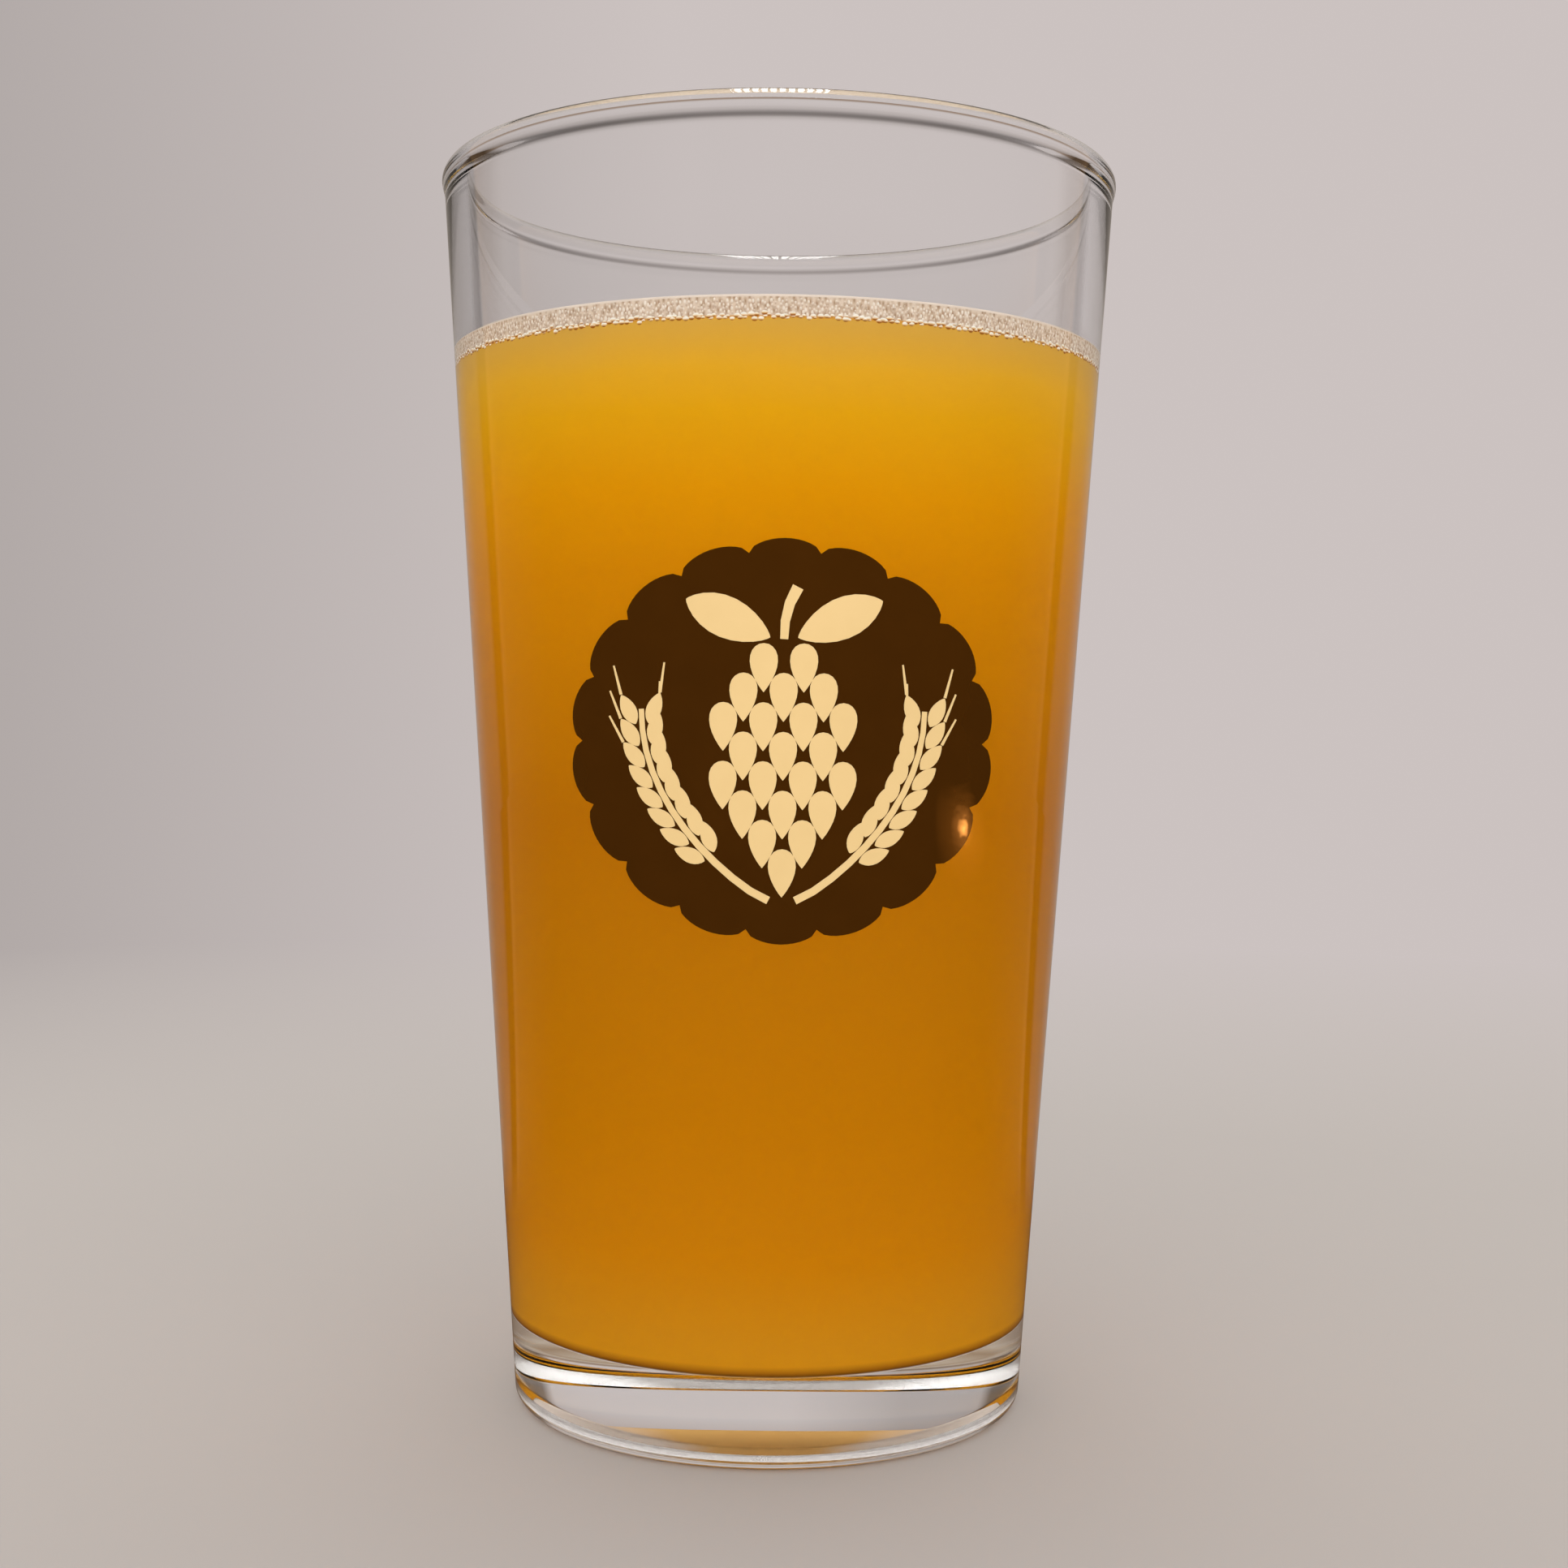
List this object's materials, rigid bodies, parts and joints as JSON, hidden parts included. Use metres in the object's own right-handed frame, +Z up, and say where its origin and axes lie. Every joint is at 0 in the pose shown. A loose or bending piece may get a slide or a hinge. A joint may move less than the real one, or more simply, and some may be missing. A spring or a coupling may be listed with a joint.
{
  "type": "pint of beer",
  "caption": "Straight tapered clear pint glass with a thick base and a rounded rim, filled with hazy golden beer to a little below the rim, under a thin collar of foam.",
  "frame": {"origin": "middle of the underside, on the table", "axes": "+Z up along the glass's axis; -Y is the printed side, seen in front"},
  "size_m": [0.086, 0.086, 0.1564],
  "materials": {
    "clear_glass": "clear fire-polished soda-lime glass",
    "hazy_beer": "hazy golden unfiltered beer, nearly opaque, paler at the top",
    "beer_foam": "fine pale beige foam, with a row of larger clear bubbles below it",
    "dark_print": "dark brown fired-on enamel print",
    "pale_print": "cream fired-on enamel print"
  },
  "bodies": {
    "root": {"glass": "clear_glass", "beer": "hazy_beer", "foam": "beer_foam"}
  },
  "joints": []
}
